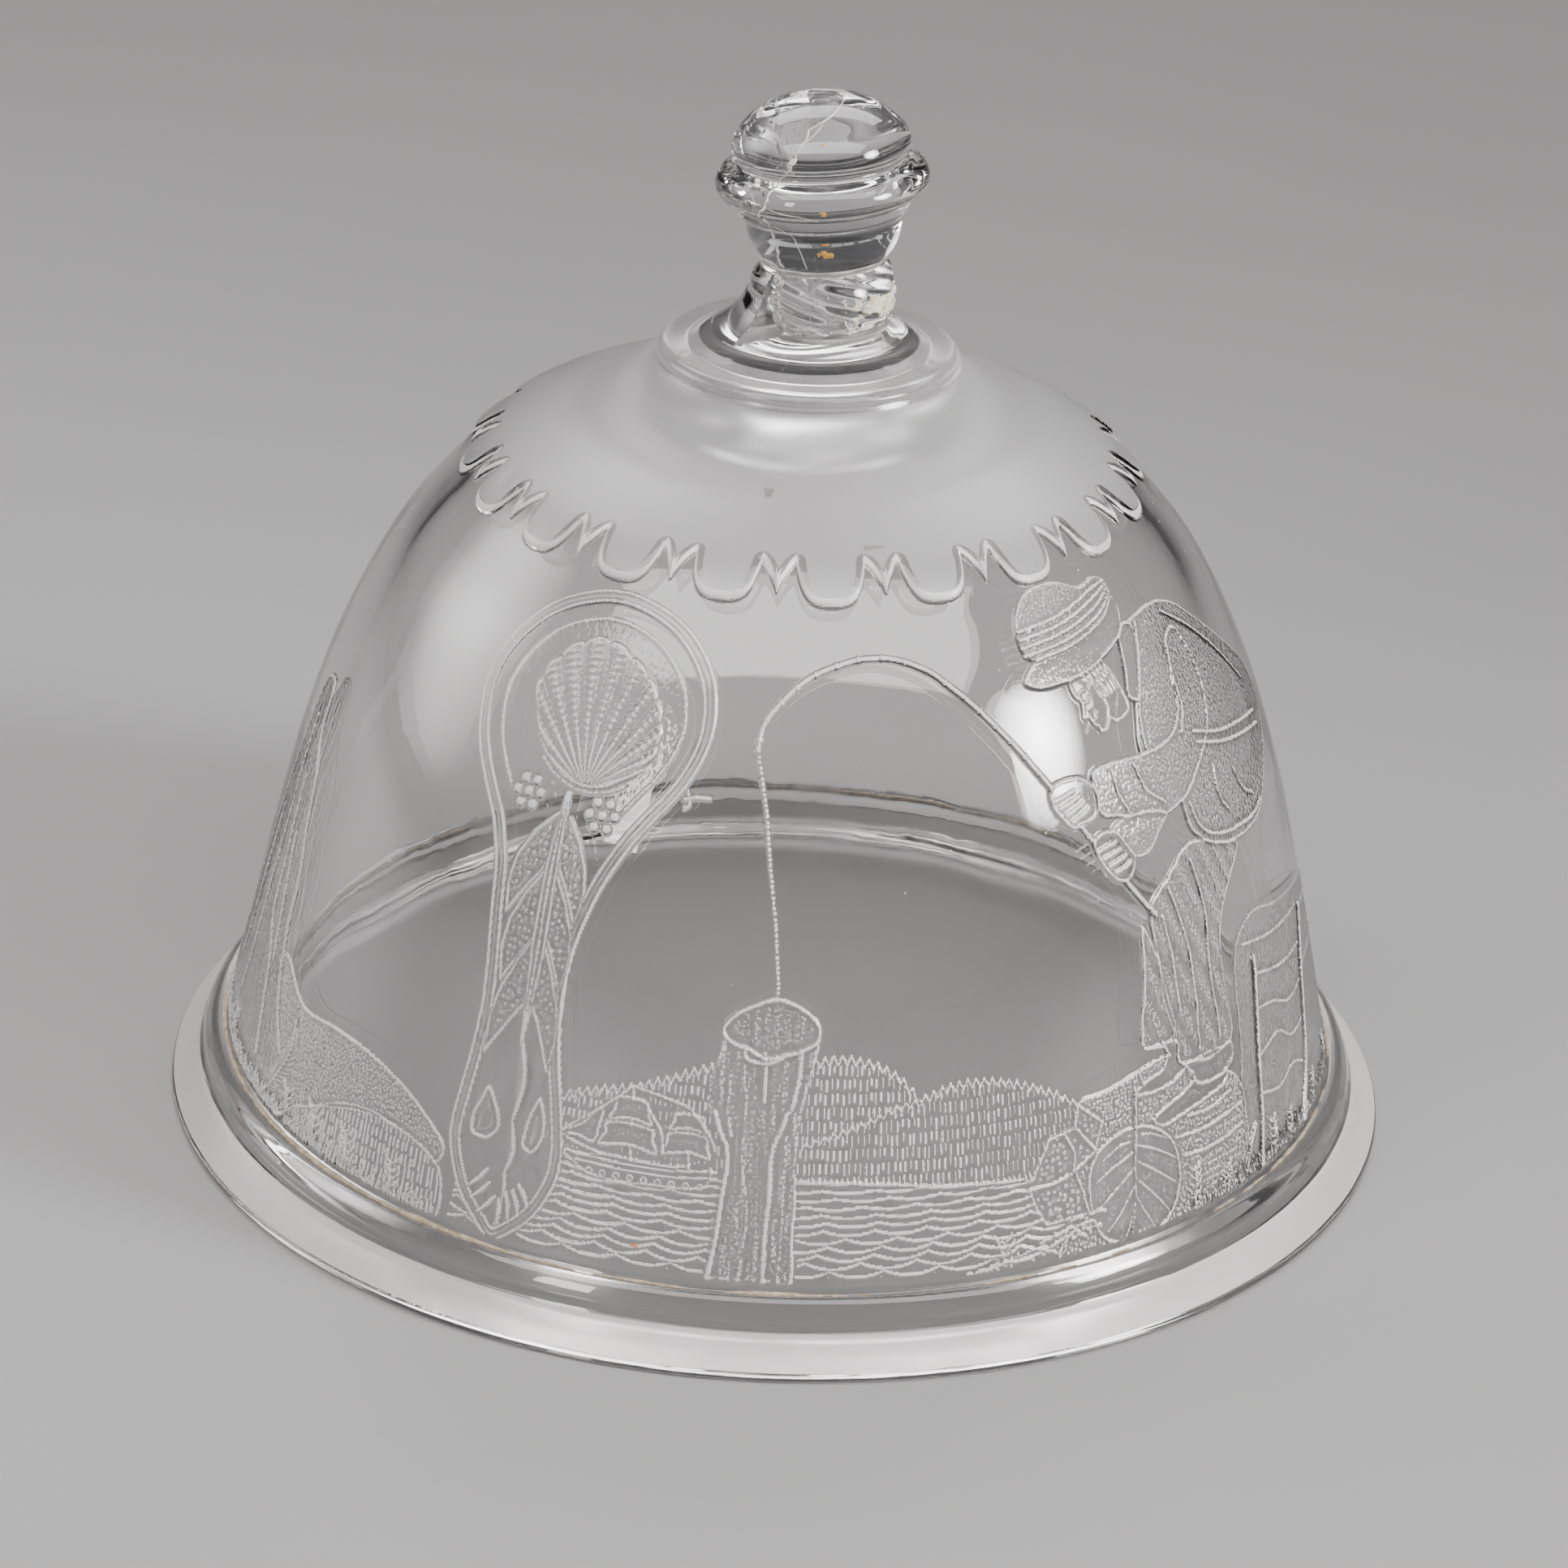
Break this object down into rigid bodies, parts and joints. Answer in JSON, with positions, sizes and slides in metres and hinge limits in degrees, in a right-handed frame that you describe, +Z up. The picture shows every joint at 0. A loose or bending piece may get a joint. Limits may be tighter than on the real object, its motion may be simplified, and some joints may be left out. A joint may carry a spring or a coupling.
{
  "type": "cheese dome",
  "caption": "Pressed-glass bell cover with a scalloped cap, a stepped foot rim and a turned knob mended with resin, set over cheese on a plate.",
  "frame": {"origin": "centre of the foot rim's underside, on the bell's own axis", "axes": "+Z up along the bell's axis to the knob, -Y towards the front of the moulded scene, +X to its right"},
  "size_m": [0.1918, 0.1918, 0.1631],
  "materials": {
    "pressed_glass": "clear pressed glass, faint warm tint, satin on the shoulder cap and foot rim",
    "casting_resin": "clear cast resin",
    "clear_glue": "clear glue gone slightly milky",
    "old_glue": "dull yellowed glue"
  },
  "bodies": {
    "root": {"dome_shell": "pressed_glass", "knob_main": "pressed_glass", "knob_side_fragment": "pressed_glass", "knob_crack_glue": "clear_glue", "neck_repair_block": "casting_resin", "glue_joint_upper": "clear_glue", "glue_bead_lower": "clear_glue", "glue_flake": "old_glue"}
  },
  "joints": []
}
